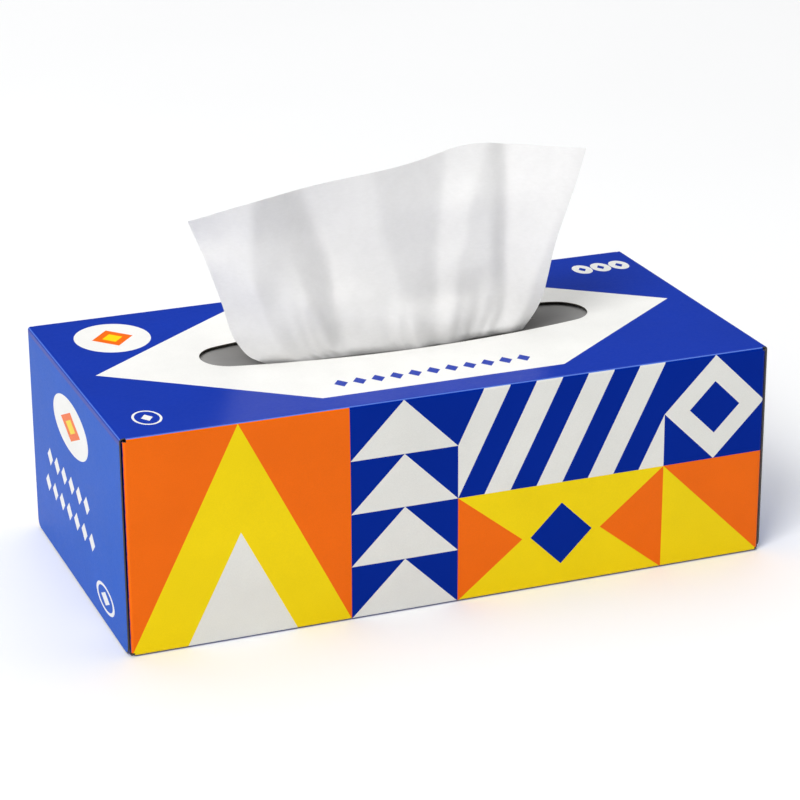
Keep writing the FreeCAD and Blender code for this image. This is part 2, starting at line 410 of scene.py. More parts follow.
# =====================================================================
# the carton: a flat blank, its print, and the map that folds it up
# =====================================================================
# a crease: two tight bends with a flatter back between them
_t = np.linspace(0, 1, 401)
_theta = (_t - 0.75 * np.sin(4 * math.pi * _t) / (4 * math.pi)) * math.pi / 2
_cx = np.r_[0, np.cumsum((np.cos(_theta[1:]) + np.cos(_theta[:-1])) / 2 / 400)]
_cd = np.r_[0, np.cumsum((np.sin(_theta[1:]) + np.sin(_theta[:-1])) / 2 / 400)]
ARC = R / _cx[-1]
_cx, _cd = _cx * ARC, _cd * R / _cd[-1]


def crease(t):
    """Along, inward, and the turn, for t from 0 to 1 through a crease."""
    return np.interp(t, _t, _cx), np.interp(t, _t, _cd), np.interp(t, _t, _theta)


S = {}
_s = 0.0
for key, length in (
    ("G", SEAM_H - R), ("f1", ARC), ("B", YS - R + YO - R), ("f2", ARC), ("F", HGT - 2 * R),
    ("f3", ARC), ("T", 2 * (YO - R)), ("f4", ARC), ("K", HGT - R - 0.30),
):
    S[key] = (_s, _s + length)
    _s += length
TOTAL = _s
END = {"B": X2 - R - SIDE, "F": 0.0, "T": X3 - R - SIDE, "K": 0.0}


def strip(s):
    """Section of the carton: y, z and the outward normal for a place s along the blank."""
    s = np.asarray(s, float)
    y, z = np.zeros_like(s), np.zeros_like(s)
    ny, nz = np.zeros_like(s), np.zeros_like(s)
    p = np.array([YS, SEAM_H])
    d = np.array([0.0, -1.0])
    order = ["G", "f1", "B", "f2", "F", "f3", "T", "f4", "K"]
    for key in order:
        s0, s1 = S[key]
        m = (s >= s0 - (1e9 if key == "G" else 0)) & (s <= s1 + (1e9 if key == "K" else 0))
        out = np.array([-d[1], d[0]])
        if key[0] != "f":
            u = s[m] - s0
            y[m], z[m] = p[0] + d[0] * u, p[1] + d[1] * u
            ny[m], nz[m] = out
            p = p + d * (s1 - s0)
        else:
            a, c, th = crease((s[m] - s0) / (s1 - s0))
            y[m] = p[0] + d[0] * a - out[0] * c
            z[m] = p[1] + d[1] * a - out[1] * c
            ny[m] = out[0] * np.cos(th) + d[0] * np.sin(th)
            nz[m] = out[1] * np.cos(th) + d[1] * np.sin(th)
            p = p + (d - out) * R
            d = -out
    return y, z, ny, nz


def wobble(a, b, seed, scale=34.0):
    """Slow unevenness of a board panel, -1 to 1."""
    return np.array([noise.noise(Vector((x / scale, y / scale, seed))) for x, y in zip(a, b)])


def top_sag(x, y):
    """Height of the top panel over flat, millimetres: it domes a little between its creases."""
    edge = np.clip(1 - (x / SIDE) ** 2, 0, 1) * np.clip(1 - (y / (YO - R)) ** 2, 0, 1)
    return 0.30 * np.sqrt(edge) * edge + 0.10 * edge * wobble(x, y, 3.1, 46.0)


def fold_up(p):
    """The blank's points (x, s) to places and outward normals in space."""
    x, s = p[:, 0], p[:, 1]
    sign = np.where(x < 0, -1.0, 1.0)
    y, z, ny, nz = strip(s)
    flap = np.abs(x) > SIDE + 1e-6
    over = flap & (s > S["T"][0] - 1.2) & (s < S["T"][1] + 1.2)
    y = np.where(over, -YO + R + (s - S["T"][0]), y)
    z = np.where(over, HGT, z)
    ny, nz = np.where(over, 0.0, ny), np.where(over, 1.0, nz)
    ext = np.zeros_like(x)
    for key, e in END.items():
        a, b = S[key]
        ext = np.where(flap & (s > a - 0.8) & (s < b + 0.8), e, ext)
    d = np.abs(x) - SIDE
    t = np.clip((d - ext) / ARC, 0, 1)
    a, c, th = crease(t)
    past = np.maximum(d - ext - ARC, 0)
    X = np.where(flap, SIDE + np.minimum(d, ext) + np.where(d > ext, a, 0), np.abs(x))
    depth = np.where(flap & (d > ext), c + past, 0)
    th = np.where(flap & (d > ext), th, 0)
    pos = np.c_[sign * X, y - ny * depth, z - nz * depth]
    nor = np.c_[sign * np.sin(th), ny * np.cos(th), nz * np.cos(th)]
    # slow bows of the panels, none at their creases
    px, py, pz = pos.T
    main = ~flap
    lx = np.clip(1 - (px / SIDE) ** 2, 0, 1)
    lz = np.clip(1 - ((pz - HGT / 2) / (HGT / 2 - R)) ** 2, 0, 1)
    side = (0.42 * lx**0.8 * lz + 0.16 * lx * lz * wobble(px, pz, 7.7)) * np.where(main, 1, 0)
    front = main & (s >= S["F"][0]) & (s <= S["F"][1])
    rear = main & ((s >= S["K"][0]) | (s <= S["G"][1]))
    pos[:, 1] += np.where(front, -side, 0) + np.where(rear, side * 0.8, 0)
    roof = main & (s >= S["T"][0]) & (s <= S["T"][1])
    pos[:, 2] += np.where(roof, top_sag(px, py), 0)
    ends = np.abs(nor[:, 0]) > 0.999
    ly = np.clip(1 - (py / (YO - R)) ** 2, 0, 1)
    bow = 0.30 * ly * lz + 0.14 * ly * lz * wobble(py + 200 * sign, pz, 11.3)
    pos[:, 0] += np.where(ends & flap, sign * bow, 0)
    return pos, nor


def front_s(z):
    """Place on the blank for a height on the front panel, crease middle to crease middle."""
    return S["F"][0] - ARC / 2 + np.asarray(z) / HGT * (S["F"][1] - S["F"][0] + ARC)


def back_s(z):
    return S["K"][0] - ARC / 2 + (HGT - np.asarray(z)) / HGT * (S["K"][1] - S["K"][0] + ARC / 2)


def top_s(y):
    return S["T"][0] + (np.asarray(y) + YO - R)


def end_x(z, side):
    """Place on the blank for a height on the outer end flap."""
    return side * (SIDE + END["T"] + ARC / 2 + (HGT - np.asarray(z)) * ((HGT - R - 0.5 + ARC / 2) / (HGT - 0.5)))


# ---- print: blocks of colour, in panel coordinates -------------------
def tri(*p):
    return np.array(p, float)


def diamond(cx, cy, a, b):
    return tri((cx - a, cy), (cx, cy - b), (cx + a, cy), (cx, cy + b))


def front_blocks():
    """Blocks of the quilt-like print on the long sides: (rect, ground, [(polygon, ink), ...])."""
    w = 38.65
    x0 = -3 * w
    blocks = []
    # two-wide peak
    blocks.append(((x0 - 9, 0, x0 + 2 * w, HGT), I_ORANGE, [
        (tri((x0, 0), (x0 + 2 * w, 0), (x0 + w, HGT)), I_YELLOW),
        (tri((x0 + w / 2, 0), (x0 + 1.5 * w, 0), (x0 + w, HGT / 2)), I_LIGHT),
    ]))
    # four geese, one over another
    x1 = x0 + 2 * w
    g = HGT / 4
    blocks.append(((x1, 0, x1 + w, HGT), I_BLUE, [
        (tri((x1, g * k), (x1 + w, g * k), (x1 + w / 2, g * (k + 1))), I_LIGHT) for k in range(4)
    ]))
    # slanting bars over a bow tie
    x2 = x1 + w
    h = HGT / 2
    bars = []
    for k in range(-3, 8):
        a = x2 + k * w / 2
        bars.append((tri((a, h), (a + w / 4, h), (a + w / 4 + h * 0.5, HGT), (a + h * 0.5, HGT)), I_BLUE))
    blocks.append(((x2, h, x2 + 2 * w, HGT), I_LIGHT, bars))
    blocks.append(((x2, 0, x2 + 2 * w, h), I_YELLOW, [
        (tri((x2, 0), (x2 + w * 0.62, h / 2), (x2, h)), I_ORANGE),
        (tri((x2 + 2 * w, 0), (x2 + 2 * w, h), (x2 + w * 1.38, h / 2)), I_ORANGE),
        (diamond(x2 + w, h / 2, w * 0.30, h * 0.30), I_BLUE),
    ]))
    # diamonds one over another
    x3 = x2 + 2 * w
    blocks.append(((x3, h, x3 + w + 9, HGT), I_BLUE, [
        (diamond(x3 + w / 2, h * 1.5, w / 2, h / 2), I_LIGHT),
        (diamond(x3 + w / 2, h * 1.5, w / 4, h / 4), I_BLUE),
    ]))
    blocks.append(((x3, 0, x3 + w + 9, h), I_ORANGE, [
        (tri((x3, 0), (x3 + w, 0), (x3, h)), I_YELLOW),
    ]))
    return blocks


def top_blocks():
    shapes = [
        # white field round the opening, pointed at both ends
        (tri((-108, 1.0), (-44, -48.5), (44, -48.5), (108, 1.0), (44, 50.5), (-44, 50.5)), I_WHITE),
        # plain oval plate at the back left corner
        (ellipse(-92.3, 35.8, 13.4, 15.3), I_WHITE),
        (diamond(-92.3, 35.8, 7.4, 8.6), I_ORANGE),
        (diamond(-92.3, 35.8, 3.7, 4.3), I_YELLOW),
        # small ring at the front left corner
        (ellipse(-103.2, -43.6, 4.9, 6.6, 48), I_WHITE),
        (ellipse(-103.2, -43.6, 4.1, 5.7, 48), I_BLUE),
        (diamond(-103.2, -43.6, 2.0, 3.0), I_WHITE),
    ]
    # a row of small blue diamonds in front of the opening
    for k in range(11):
        shapes.append((diamond(-33.5 + 6.7 * k, -37.6, 2.5, 3.3), I_BLUE))
    # three discs at the back right corner
    for k in range(3):
        cx = 93.5 + 7.6 * k
        shapes.append((ellipse(cx, 43.5, 3.7, 5.2, 40), I_WHITE))
        shapes.append((diamond(cx, 43.5, 1.5, 2.4), I_BLUE))
    return [((-LEN, -WID, LEN, WID), I_BLUE, shapes)]


def end_blocks():
    """On an outer end flap, in (y, z)."""
    shapes = [
        (ellipse(3.0, 59.0, 22.5, 9.6), I_WHITE),
        (diamond(3.0, 59.0, 12.5, 5.3), I_ORANGE),
        (diamond(3.0, 59.0, 6.2, 2.7), I_YELLOW),
    ]
    for row, (z, n, y0) in enumerate(((36.5, 6, 34.0), (25.0, 7, 38.5))):
        for k in range(n):
            shapes.append((diamond(y0 - 9.6 * k, z, 3.7, 3.4), I_WHITE))
    shapes.append((ellipse(-33.0, 10.0, 11.0, 4.9, 48), I_WHITE))
    shapes.append((ellipse(-33.0, 10.0, 8.8, 3.9, 48), I_BLUE_END_PAINTED_SHEEN))
    shapes.append((diamond(-33.0, 10.0, 5.2, 2.5), I_WHITE))
    # the end flaps' ground is the lighter copy of the top's blue: painted sheen
    return [((-WID, -10, WID, HGT + 10), I_BLUE_END_PAINTED_SHEEN, shapes)]


def paint(blocks, q):
    """Ink index at panel points q."""
    out = np.full(len(q), I_BLUE)
    for (x0, y0, x1, y1), ground, shapes in blocks:
        here = (q[:, 0] >= x0) & (q[:, 0] <= x1) & (q[:, 1] >= y0) & (q[:, 1] <= y1)
        if not here.any():
            continue
        out[here] = ground
        for poly, colour in shapes:
            m = here.copy()
            m[here] = inside(poly, q[here])
            out[m] = colour
    return out


def draw(plan, blocks, to_blank, limits, step=6.0):
    """Adds the colour edges of blocks, cut to limits, to the plan."""
    for rect, _, shapes in blocks:
        x0, y0, x1, y1 = rect
        frame_ = tri((x0, y0), (x1, y0), (x1, y1), (x0, y1))
        for poly, area in [(frame_, limits)] + [(p, rect) for p, _ in shapes]:
            n = len(poly)
            for i in range(n):
                seg = clip_segment(tuple(poly[i]), tuple(poly[(i + 1) % n]), area)
                seg = seg and clip_segment(seg[0], seg[1], limits)
                if seg and math.dist(*seg) > 1e-4:
                    plan.path([to_blank(seg[0]), to_blank(seg[1])], step=step)


FRONT, TOP, ENDS = front_blocks(), top_blocks(), end_blocks()


def mirror(pts):
    return [(-x, s) for x, s in pts][::-1]


def blank_outline():
    sB, sF, sT, sK = S["B"], S["F"], S["T"], S["K"]
    eB, eT = END["B"], END["T"]
    y1, y0 = sB[0] + (YS - R - (YS - 1.2)), sB[0] + (YS - R + YO - 1.2)
    right = [(SIDE - 3.0, 0.0), (SIDE, S["G"][1]), (SIDE, y1)]
    reach = SIDE + eB + ARC
    right += [
        (reach, y1), (reach + INNER_H - 14.0 - R, y1 + 2.0), (reach + INNER_H - R, y1 + 12.0),
        (reach + INNER_H - R, y0 - 12.0), (reach + INNER_H - 14.0 - R, y0 - 2.0), (reach, y0), (SIDE, y0),
    ]

    def dust(a, b):
        r = SIDE + ARC
        return [(SIDE, a), (r, a), (r + 6.0, a + 1.0), (r + DUST_L, a + 9.0), (r + DUST_L, b - 9.0),
                (r + 6.0, b - 1.0), (r, b), (SIDE, b)]

    right += dust(sF[0] + 0.15, sF[1] - 0.05)
    far = SIDE + eT + ARC + HGT - R - 0.5
    a, b = sT[0] - (R - FLAP_IN), sT[1] + (R - FLAP_IN)
    corner = [(far - FLAP_R + FLAP_R * math.sin(t), a + FLAP_R - FLAP_R * math.cos(t)) for t in np.linspace(0, math.pi / 2, 9)]
    corner2 = [(x, a + b - s) for x, s in corner][::-1]
    right += [(SIDE, sT[0]), (SIDE + 0.45, sT[0]), (SIDE + 0.75, a)] + corner + corner2
    right += [(SIDE + 0.75, b), (SIDE + 0.45, sT[1]), (SIDE, sT[1])]
    right += dust(sK[0] + 0.05, sK[1] - 1.3)
    right += [(SIDE, sK[1])]
    return np.array(right + mirror(right))


OUTLINE = blank_outline()
HOLE = four_centre_oval(OPEN_A, OPEN_B, OPEN_R) + (OPEN_CX, OPEN_CY)
HOLE_S = np.c_[HOLE[:, 0], top_s(HOLE[:, 1])]


def on_blank(p):
    return inside(OUTLINE, p) & ~inside(HOLE_S, p)


plan = Plan()
plan.path(OUTLINE, closed=True, step=5.0)
plan.path(HOLE_S, closed=True)
for key in ("f1", "f2", "f3", "f4"):
    s0, s1 = S[key]
    for t in np.linspace(0, 1, 9):
        plan.path([(-SIDE, s0 + (s1 - s0) * t), (SIDE, s0 + (s1 - s0) * t)], step=5.0)
for key, e in END.items():
    s0, s1 = S[key]
    lo, hi = {"B": (s0 + 0.1, s1 - 0.1), "F": (s0 + 0.15, s1 - 0.05), "K": (s0 + 0.05, s1 - 1.3),
              "T": (s0 - (R - FLAP_IN), s1 + (R - FLAP_IN))}[key]
    if key == "T":
        for side in (-1, 1):
            plan.path([(float(end_x(HGT - 2.2, side)), lo), (float(end_x(HGT - 2.2, side)), hi)], step=5.0)
    for side in (-1, 1):
        core = (max(lo, s0), min(hi, s1))
        plan.path([(side * SIDE, core[0]), (side * SIDE, core[1])], step=5.0)
        for t in np.linspace(0, 1, 9):
            x = side * (SIDE + e + ARC * t)
            if t > 0 or e > 0:
                plan.path([(x, lo), (x, hi)], step=5.0)
draw(plan, FRONT, lambda q: (q[0], float(front_s(q[1]))), (-SIDE - 8, 0, SIDE + 8, HGT))
draw(plan, FRONT, lambda q: (-q[0], float(back_s(q[1]))), (-SIDE - 8, 2.0, SIDE + 8, HGT))
draw(plan, TOP, lambda q: (q[0], float(top_s(q[1]))), (-SIDE, -YO + R, SIDE, YO - R))
for side in (-1, 1):
    draw(plan, ENDS, lambda q, side=side: (float(end_x(q[1], side)), float(top_s(-side * q[0]))) if side > 0
         else (float(end_x(q[1], side)), float(top_s(q[0]))), (-YO + 1.5, 2.0, YO - 1.5, HGT - 1))
reach_x = SIDE + END["T"] + ARC + HGT
plan.grid(-reach_x, reach_x, 0, TOTAL, 4.6, on_blank, 1.1)
blank_v, blank_f = plan.triangles(on_blank)

# which ink lies where
mid = blank_v[blank_f].mean(axis=1)
mx, ms = mid.T
ink_of = np.full(len(mid), I_BLUE)
half = ARC / 2
in_front = (ms > S["F"][0] - half) & (ms < S["F"][1] + half) & (np.abs(mx) < SIDE + ARC + 6)
qz = (ms - S["F"][0] + half) / (S["F"][1] - S["F"][0] + ARC) * HGT
ink_of[in_front] = paint(FRONT, np.c_[mx, qz][in_front])
in_back = (ms > S["K"][0] - half) & (np.abs(mx) < SIDE + ARC + 6)
qz = HGT - (ms - S["K"][0] + half) / (S["K"][1] - S["K"][0] + half) * HGT
ink_of[in_back] = paint(FRONT, np.c_[-mx, qz][in_back])
in_top = (ms >= S["T"][0] - half) & (ms <= S["T"][1] + half) & (np.abs(mx) < SIDE + END["T"] + half)
qy = ms - S["T"][0] - YO + R
ink_of[in_top] = paint(TOP, np.c_[mx, qy][in_top])
in_end = (ms >= S["T"][0] - 1.0) & (ms <= S["T"][1] + 1.0) & (np.abs(mx) >= SIDE + END["T"] + half)
qz = HGT - (np.abs(mx) - SIDE - END["T"] - half) / ((HGT - R - 0.5 + half) / (HGT - 0.5))
ink_of[in_end] = paint(ENDS, np.c_[np.where(mx > 0, -qy, qy), qz][in_end])
# the top 2.2 mm of each end flap keeps the darker top blue: a painted dark line of shade along the crease
ink_of[in_end & (qz > HGT - 2.2)] = I_BLUE
# the dust flaps are blue from the end of the upright creases
ink_of[(in_front | in_back) & (np.abs(mx) > SIDE + 0.8 * ARC)] = I_BLUE
# the blue on the long sides and their dust flaps becomes the darker copy: painted shade
ink_of[(in_front | in_back) & (ink_of == I_BLUE)] = I_BLUE_SIDE_PAINTED_SHADE
# a lighter blue strip along the back of the creases round the top: a painted highlight on the creases
turn = (np.abs(mx) - SIDE - END["T"]) / ARC
ink_of[(turn > 0.375) & (turn < 0.625) & (ms > S["T"][0] - 1.0) & (ms < S["T"][1] + 1.0)] = I_CREASE_HIGHLIGHT
for key, lo, hi in (("f3", 0.5, 0.75), ("f4", 0.25, 0.5)):
    turn = (ms - S[key][0]) / ARC
    ink_of[(turn > lo) & (turn < hi) & (np.abs(mx) < SIDE)] = I_CREASE_HIGHLIGHT
plain = (ms < S["G"][1]) | ((np.abs(mx) > SIDE + ARC + 6) & ~in_end)
ink_of[plain] = I_LINER

pos, nor = fold_up(blank_v)
# the cut edges take the darkened core colour, partly painted shade
cv, cf, cslots, csharp = give_thickness(pos, nor, blank_f, BOARD, ink_of, I_GREY, I_CORE_AND_SHADE)
carton = make_object("carton_board", cv, cf, PRINTS, cslots, sharp=csharp)
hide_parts("carton")
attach(carton, "root")


# =====================================================================
# the slit film under the opening
# =====================================================================
def film_material():
    n = Nodes("film_cloudy_painted_shade")
    cloud = n.noise(60.0, 3.0, 0.5)
    parts = n.add("ShaderNodeSeparateXYZ")
    n.link(n.co, parts.inputs[0])
    # painted shade: the film is darker near the middle, under the standing sheet, and paler towards the ends of the
    # opening
    out = n.maths("ABSOLUTE", n.maths("SUBTRACT", parts.outputs[0], OPEN_CX * MM), 0.0)
    painted_shade_fade = n.ramp(out, 0.046, 0.074, 0.0, 1.0)
    dark = n.mix(cloud, (0.110, 0.104, 0.098, 1), (0.180, 0.172, 0.164, 1))
    pale = n.mix(cloud, (0.370, 0.363, 0.354, 1), (0.500, 0.491, 0.480, 1))
    n.link(n.mix(painted_shade_fade, dark, pale), n.bsdf.inputs["Base Color"])
    n.bsdf.inputs["Roughness"].default_value = 0.32
    n.bsdf.inputs["Alpha"].default_value = 0.72
    n.bump(n.noise(90.0, 2.0, 0.5, n.stretch((0.5, 1.6, 1.0))), 0.0004, 0.35)
    return n.m


M_FILM = film_material()
FX, FY = 88.0, 31.0
lens_t = np.linspace(-1, 1, 37)
lens = np.vstack([
    np.c_[lens_t * SLIT_A, -SLIT_B * (1 - lens_t**2)],
    np.c_[lens_t[::-1][1:-1] * SLIT_A, SLIT_B * (1 - lens_t[::-1][1:-1] ** 2)],
])
film_plan = Plan()
film_plan.path([(-FX, -FY), (FX, -FY), (FX, FY), (-FX, FY)], closed=True, step=3.0)
film_plan.path(lens, closed=True)
ring = tri((-79, -24), (79, -24), (79, 24), (-79, 24))
film_plan.path(ring, closed=True, step=3.0)
film_plan.grid(-FX, FX, -FY, FY, 2.2, lambda p: ~inside(lens, p), 0.7)
fv, ff = film_plan.triangles(lambda c: ~inside(lens, c))
fx, fy = fv.T
drop = np.minimum(smoothstep(0, 4.2, 79 - np.abs(fx)), smoothstep(0, 4.2, 24 - np.abs(fy)))
to_slit = np.hypot(np.maximum(np.abs(fx) - SLIT_A, 0), np.maximum(np.abs(fy) - SLIT_B * np.clip(1 - (fx / SLIT_A) ** 2, 0, 1), 0))
pull = np.exp(-to_slit / 5.0)
creases = np.array([noise.noise(Vector((x / 26.0, y / 5.0, 2.0))) for x, y in fv])
fz = HGT - BOARD - 0.03 + top_sag(fx + OPEN_CX, fy + OPEN_CY) - drop * (0.90 + 0.14 * creases)
lip = drop * 0.55 * np.exp(-to_slit / 0.9) * np.clip(1 - (fx / SLIT_A) ** 2, 0, 1)
fz = fz - lip
fnor = np.tile((0.0, 0.0, 1.0), (len(fv), 1))
gv, gf, gslots, gsharp = give_thickness(np.c_[fx + OPEN_CX, fy + OPEN_CY, fz], fnor, ff, 0.05, np.zeros(len(ff), int), 0, 0)
film = make_object("slit_film_sheet", gv, gf, [M_FILM], gslots)
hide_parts("slit_film")
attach(film, "root")


# =====================================================================
# the pulled sheet
# =====================================================================
def tissue_material():
    n = Nodes("tissue_plies")
    crepe = n.noise(1.0, 3.0, 0.6, n.stretch((520.0, 520.0, 1500.0)))
    soft = n.noise(1.0, 4.0, 0.55, n.stretch((220.0, 220.0, 160.0)))
    mix = n.maths("ADD", n.maths("MULTIPLY", crepe, 0.5), n.maths("MULTIPLY", soft, 0.5))
    n.link(n.mix(n.ramp(mix, 0.38, 0.62, 0.0, 1.0), (0.918, 0.906, 0.890, 1), (0.957, 0.945, 0.929, 1)), n.bsdf.inputs["Base Color"])
    n.bsdf.inputs["Roughness"].default_value = 0.95
    n.bsdf.inputs["Specular IOR Level"].default_value = 0.12
    n.bsdf.inputs["Sheen Weight"].default_value = 0.12
    n.bsdf.inputs["Sheen Roughness"].default_value = 0.6
    n.bsdf.inputs["Subsurface Weight"].default_value = 0.25
    n.bsdf.inputs["Subsurface Radius"].default_value = (1.0, 1.0, 1.0)
    n.bsdf.inputs["Subsurface Scale"].default_value = 0.004
    low = n.bump(soft, 0.00016, 0.4)
    n.bump(crepe, 0.00006, 0.45, low)
    return n.m


M_TISSUE = tissue_material()

# outline of the sheet, as (across, up) on the plane y = 0 seen from the camera
EDGE_TOP = [(-73.9, 128.0), (-66, 129.3), (-59, 130.6), (-53, 131.6), (-47.5, 132.5), (-41, 133.6), (-33.8, 134.8),
            (-25, 136.0), (-15.6, 136.9), (-6, 137.8), (2.8, 138.9), (10, 140.2), (17.7, 142.1), (23, 143.4), (29, 144.0),
            (35, 143.8), (40.3, 143.0), (48, 142.0), (55.6, 140.7), (64, 139.3), (73.5, 137.7)]
EDGE_L = [(-73.9, 127.7), (-70, 118), (-65.7, 106.1), (-62.1, 94.9), (-59.5, 85.8), (-56.7, 80.7), (-53.2, 76.5), (-47.5, 73.4)]
EDGE_R = [(73.5, 137.4), (70.2, 126.4), (66.1, 115), (62, 103.2), (59.5, 92.3), (57.6, 85), (54.9, 79.7), (50.2, 73.6)]
# ridges and furrows of the sheet: place across it (0 to 1) and depth (mm, minus is nearer), at
# eight heights on that plane
HEIGHTS = [74.5, 79, 84, 91, 100, 110, 121, 132]
FOLD_AT = [
    (0.000, 0.000, 0.000, 0.000, 0.000, 0.000, 0.000, 0.000),
    (0.100, 0.125, 0.122, 0.110, 0.106, 0.116, 0.140, 0.170),
    (0.190, 0.195, 0.182, 0.160, 0.157, 0.170, 0.212, 0.235),
    (0.280, 0.280, 0.274, 0.257, 0.246, 0.235, 0.242, 0.255),
    (0.325, 0.335, 0.335, 0.325, 0.325, 0.318, 0.298, 0.290),
    (0.590, 0.580, 0.568, 0.548, 0.522, 0.498, 0.475, 0.470),
    (0.650, 0.650, 0.646, 0.645, 0.640, 0.640, 0.637, 0.640),
    (0.720, 0.715, 0.710, 0.710, 0.710, 0.720, 0.720, 0.735),
    (0.800, 0.785, 0.780, 0.772, 0.760, 0.760, 0.775, 0.764),
    (0.865, 0.865, 0.850, 0.832, 0.815, 0.799, 0.785, 0.775),
    (0.905, 0.890, 0.874, 0.863, 0.850, 0.834, 0.815, 0.800),
    (0.958, 0.955, 0.955, 0.955, 0.975, 0.980, 0.980, 0.980),
    (1.000, 1.000, 1.000, 1.000, 1.000, 1.000, 1.000, 1.000),
]
FOLD_DEPTH = [
    (-8.0, -3.7, -1.9, +0.5, +0.6, +0.1, +5.1, +0.4),
    (-11.4, -12.8, -12.1, -10.4, -10.2, -7.1, -4.7, -6.2),
    (-11.3, -11.0, -11.5, -10.7, -8.7, -6.1, -1.1, -1.1),
    (-11.6, -11.9, -13.6, -13.8, -8.5, -2.9, +0.8, +1.3),
    (-11.6, -9.8, -9.8, -6.7, +1.6, +5.0, +6.6, +4.1),
    (-14.0, -14.6, -12.6, -6.5, -3.5, -2.0, -2.9, -2.4),
    (-12.2, -12.4, -8.8, -1.1, -0.9, -0.4, -1.0, +1.8),
    (-13.2, -13.6, -9.9, -3.2, -5.6, -5.7, -6.3, -2.0),
    (-10.9, -9.3, -5.4, -2.3, -6.6, -6.7, -5.9, -1.4),
    (-10.4, -6.7, -4.6, -5.1, -7.8, -7.3, -5.7, -1.1),
    (-9.5, -5.7, -4.1, -3.6, -4.1, -3.6, -2.7, +1.7),
    (-10.1, -8.7, -10.2, -13.0, -14.9, -15.2, -13.6, -10.2),
    (-8.4, -8.4, -10.9, -14.6, -15.7, -15.9, -14.3, -10.9),
]
NU, NV = 201, 108
U = np.linspace(0, 1, NU)


def edge_x(points, b):
    p = np.array(points)[::-1]
    return pchip(p[:, 1], p[:, 0], b)


def top_b(a):
    p = np.array(EDGE_TOP)
    return pchip(p[:, 0], p[:, 1], a)


def blur(y, sigma, step):
    """Gaussian blur along a row that keeps straight ends straight."""
    k = int(math.ceil(3 * sigma / step))
    if k < 1:
        return y
    w = np.exp(-0.5 * (np.arange(-k, k + 1) * step / sigma) ** 2)
    w /= w.sum()
    left = 2 * y[0] - y[1 : k + 1][::-1]
    right = 2 * y[-1] - y[-k - 1 : -1][::-1]
    return np.convolve(np.r_[left, y, right], w, "valid")


FINE_U = np.linspace(0, 1, 401)
FINE_B = np.arange(68.0, 148.1, 0.5)
FIELD = []
for b in FINE_B:
    at = np.array([float(pchip(HEIGHTS, row, b)) for row in FOLD_AT])
    deep = np.array([float(pchip(HEIGHTS, row, b)) for row in FOLD_DEPTH])
    FIELD.append(blur(np.interp(FINE_U, at, deep), 0.0105, 1 / 400))
FIELD = np.array(FIELD)
for i in range(FIELD.shape[1]):
    FIELD[:, i] = blur(FIELD[:, i], 2.4, 0.5)


def depth_at(u, b):
    """Depth of the folds, from the smoothed table."""
    x = np.clip(np.asarray(u) * 400, 0, 399.999)
    y = np.clip((np.asarray(b) - 68.0) / 0.5, 0, len(FINE_B) - 1.001)
    i, j = x.astype(int), y.astype(int)
    fx, fy = x - i, y - j
    return ((FIELD[j, i] * (1 - fx) + FIELD[j, i + 1] * fx) * (1 - fy)
            + (FIELD[j + 1, i] * (1 - fx) + FIELD[j + 1, i + 1] * fx) * fy)


def ray_point(a, b, depth):
    """From (across, up) on the plane y = 0, along the camera's ray to the plane y = depth."""
    cx, cy, cz = (c / MM for c in CAM)
    k = (depth - cy) / (0 - cy)
    return np.c_[cx + (a - cx) * k, depth, cz + (b - cz) * k]


def front_rim(x):
    """Y of the opening's front edge."""
    side = ((OPEN_A - OPEN_R) ** 2 + OPEN_B**2 - OPEN_R**2) / (2 * (OPEN_B - OPEN_R))
    return OPEN_CY - (np.sqrt(side**2 - np.minimum(np.abs(x - OPEN_CX), 62.0) ** 2) - (side - OPEN_B))


rows = []
# top edge first, so that each column knows where it starts
bt = np.full(NU, 135.0)
for _ in range(30):
    at = edge_x(EDGE_L, bt) * (1 - U) + edge_x(EDGE_R, bt) * U
    bt = 0.5 * bt + 0.5 * top_b(at)
FILM_TOP = HGT - BOARD - 0.03 - 0.90
CLEAR = 0.42
base_d = depth_at(U, np.full(NU, 74.5))
base_x = -50.0 + 101.0 * U
base_d = np.clip(base_d, front_rim(base_x) + 0.6, front_rim(base_x) + 3.3)
base_z = FILM_TOP + CLEAR + top_sag(base_x, base_d)
_k = (base_d - CAM[1] / MM) / (0 - CAM[1] / MM)
bb = CAM[2] / MM + (base_z - CAM[2] / MM) / _k
for j in range(NV):
    v = j / (NV - 1)
    v = v + 0.10 * math.sin(2 * math.pi * v) / (2 * math.pi)
    b = bt * (1 - v) + bb * v
    near_base = 1 - smoothstep(0, 1, (b - bb) / 3.6)
    d = depth_at(U, b) * (1 - near_base) + base_d * near_base
    # fine pleats that run up out of the gather, and slow unevenness
    low = float(smoothstep(0.45, 1.0, v))
    ends = np.clip(8 * np.minimum(U, 1 - U), 0, 1)
    fine = np.array([
        0.13 * low * math.sin(2 * math.pi * (13.0 * u + 1.6 * noise.noise(Vector((u * 5, 0.0, 4.0)))) + 1.0)
        + 0.26 * low * noise.noise(Vector((u * 24, v * 1.5, 9.0)))
        + 0.30 * noise.noise(Vector((u * 9, v * 1.4, 1.7)))
        for u in U
    ])
    d = d + fine * ends
    a = edge_x(EDGE_L, b) * (1 - U) + edge_x(EDGE_R, b) * U
    p = ray_point(a, b, d)
    rim = front_rim(p[:, 0]) + 0.5 - 30.0 * smoothstep(HGT + 0.3, HGT + 14.0, p[:, 2])
    rows.append(ray_point(a, b, np.maximum(d, rim)))
rows = np.array(rows)

# under the base: back along the film, into the slit, down, and out over the stack
last = rows[-1].copy()


PLEAT = np.array([9.0 * u + 1.3 * noise.noise(Vector((u * 4.3, 0.7, 2.2))) for u in U])
SWING = np.array([0.70 + 0.5 * noise.noise(Vector((u * 7.0, 3.3, 1.1))) for u in U])


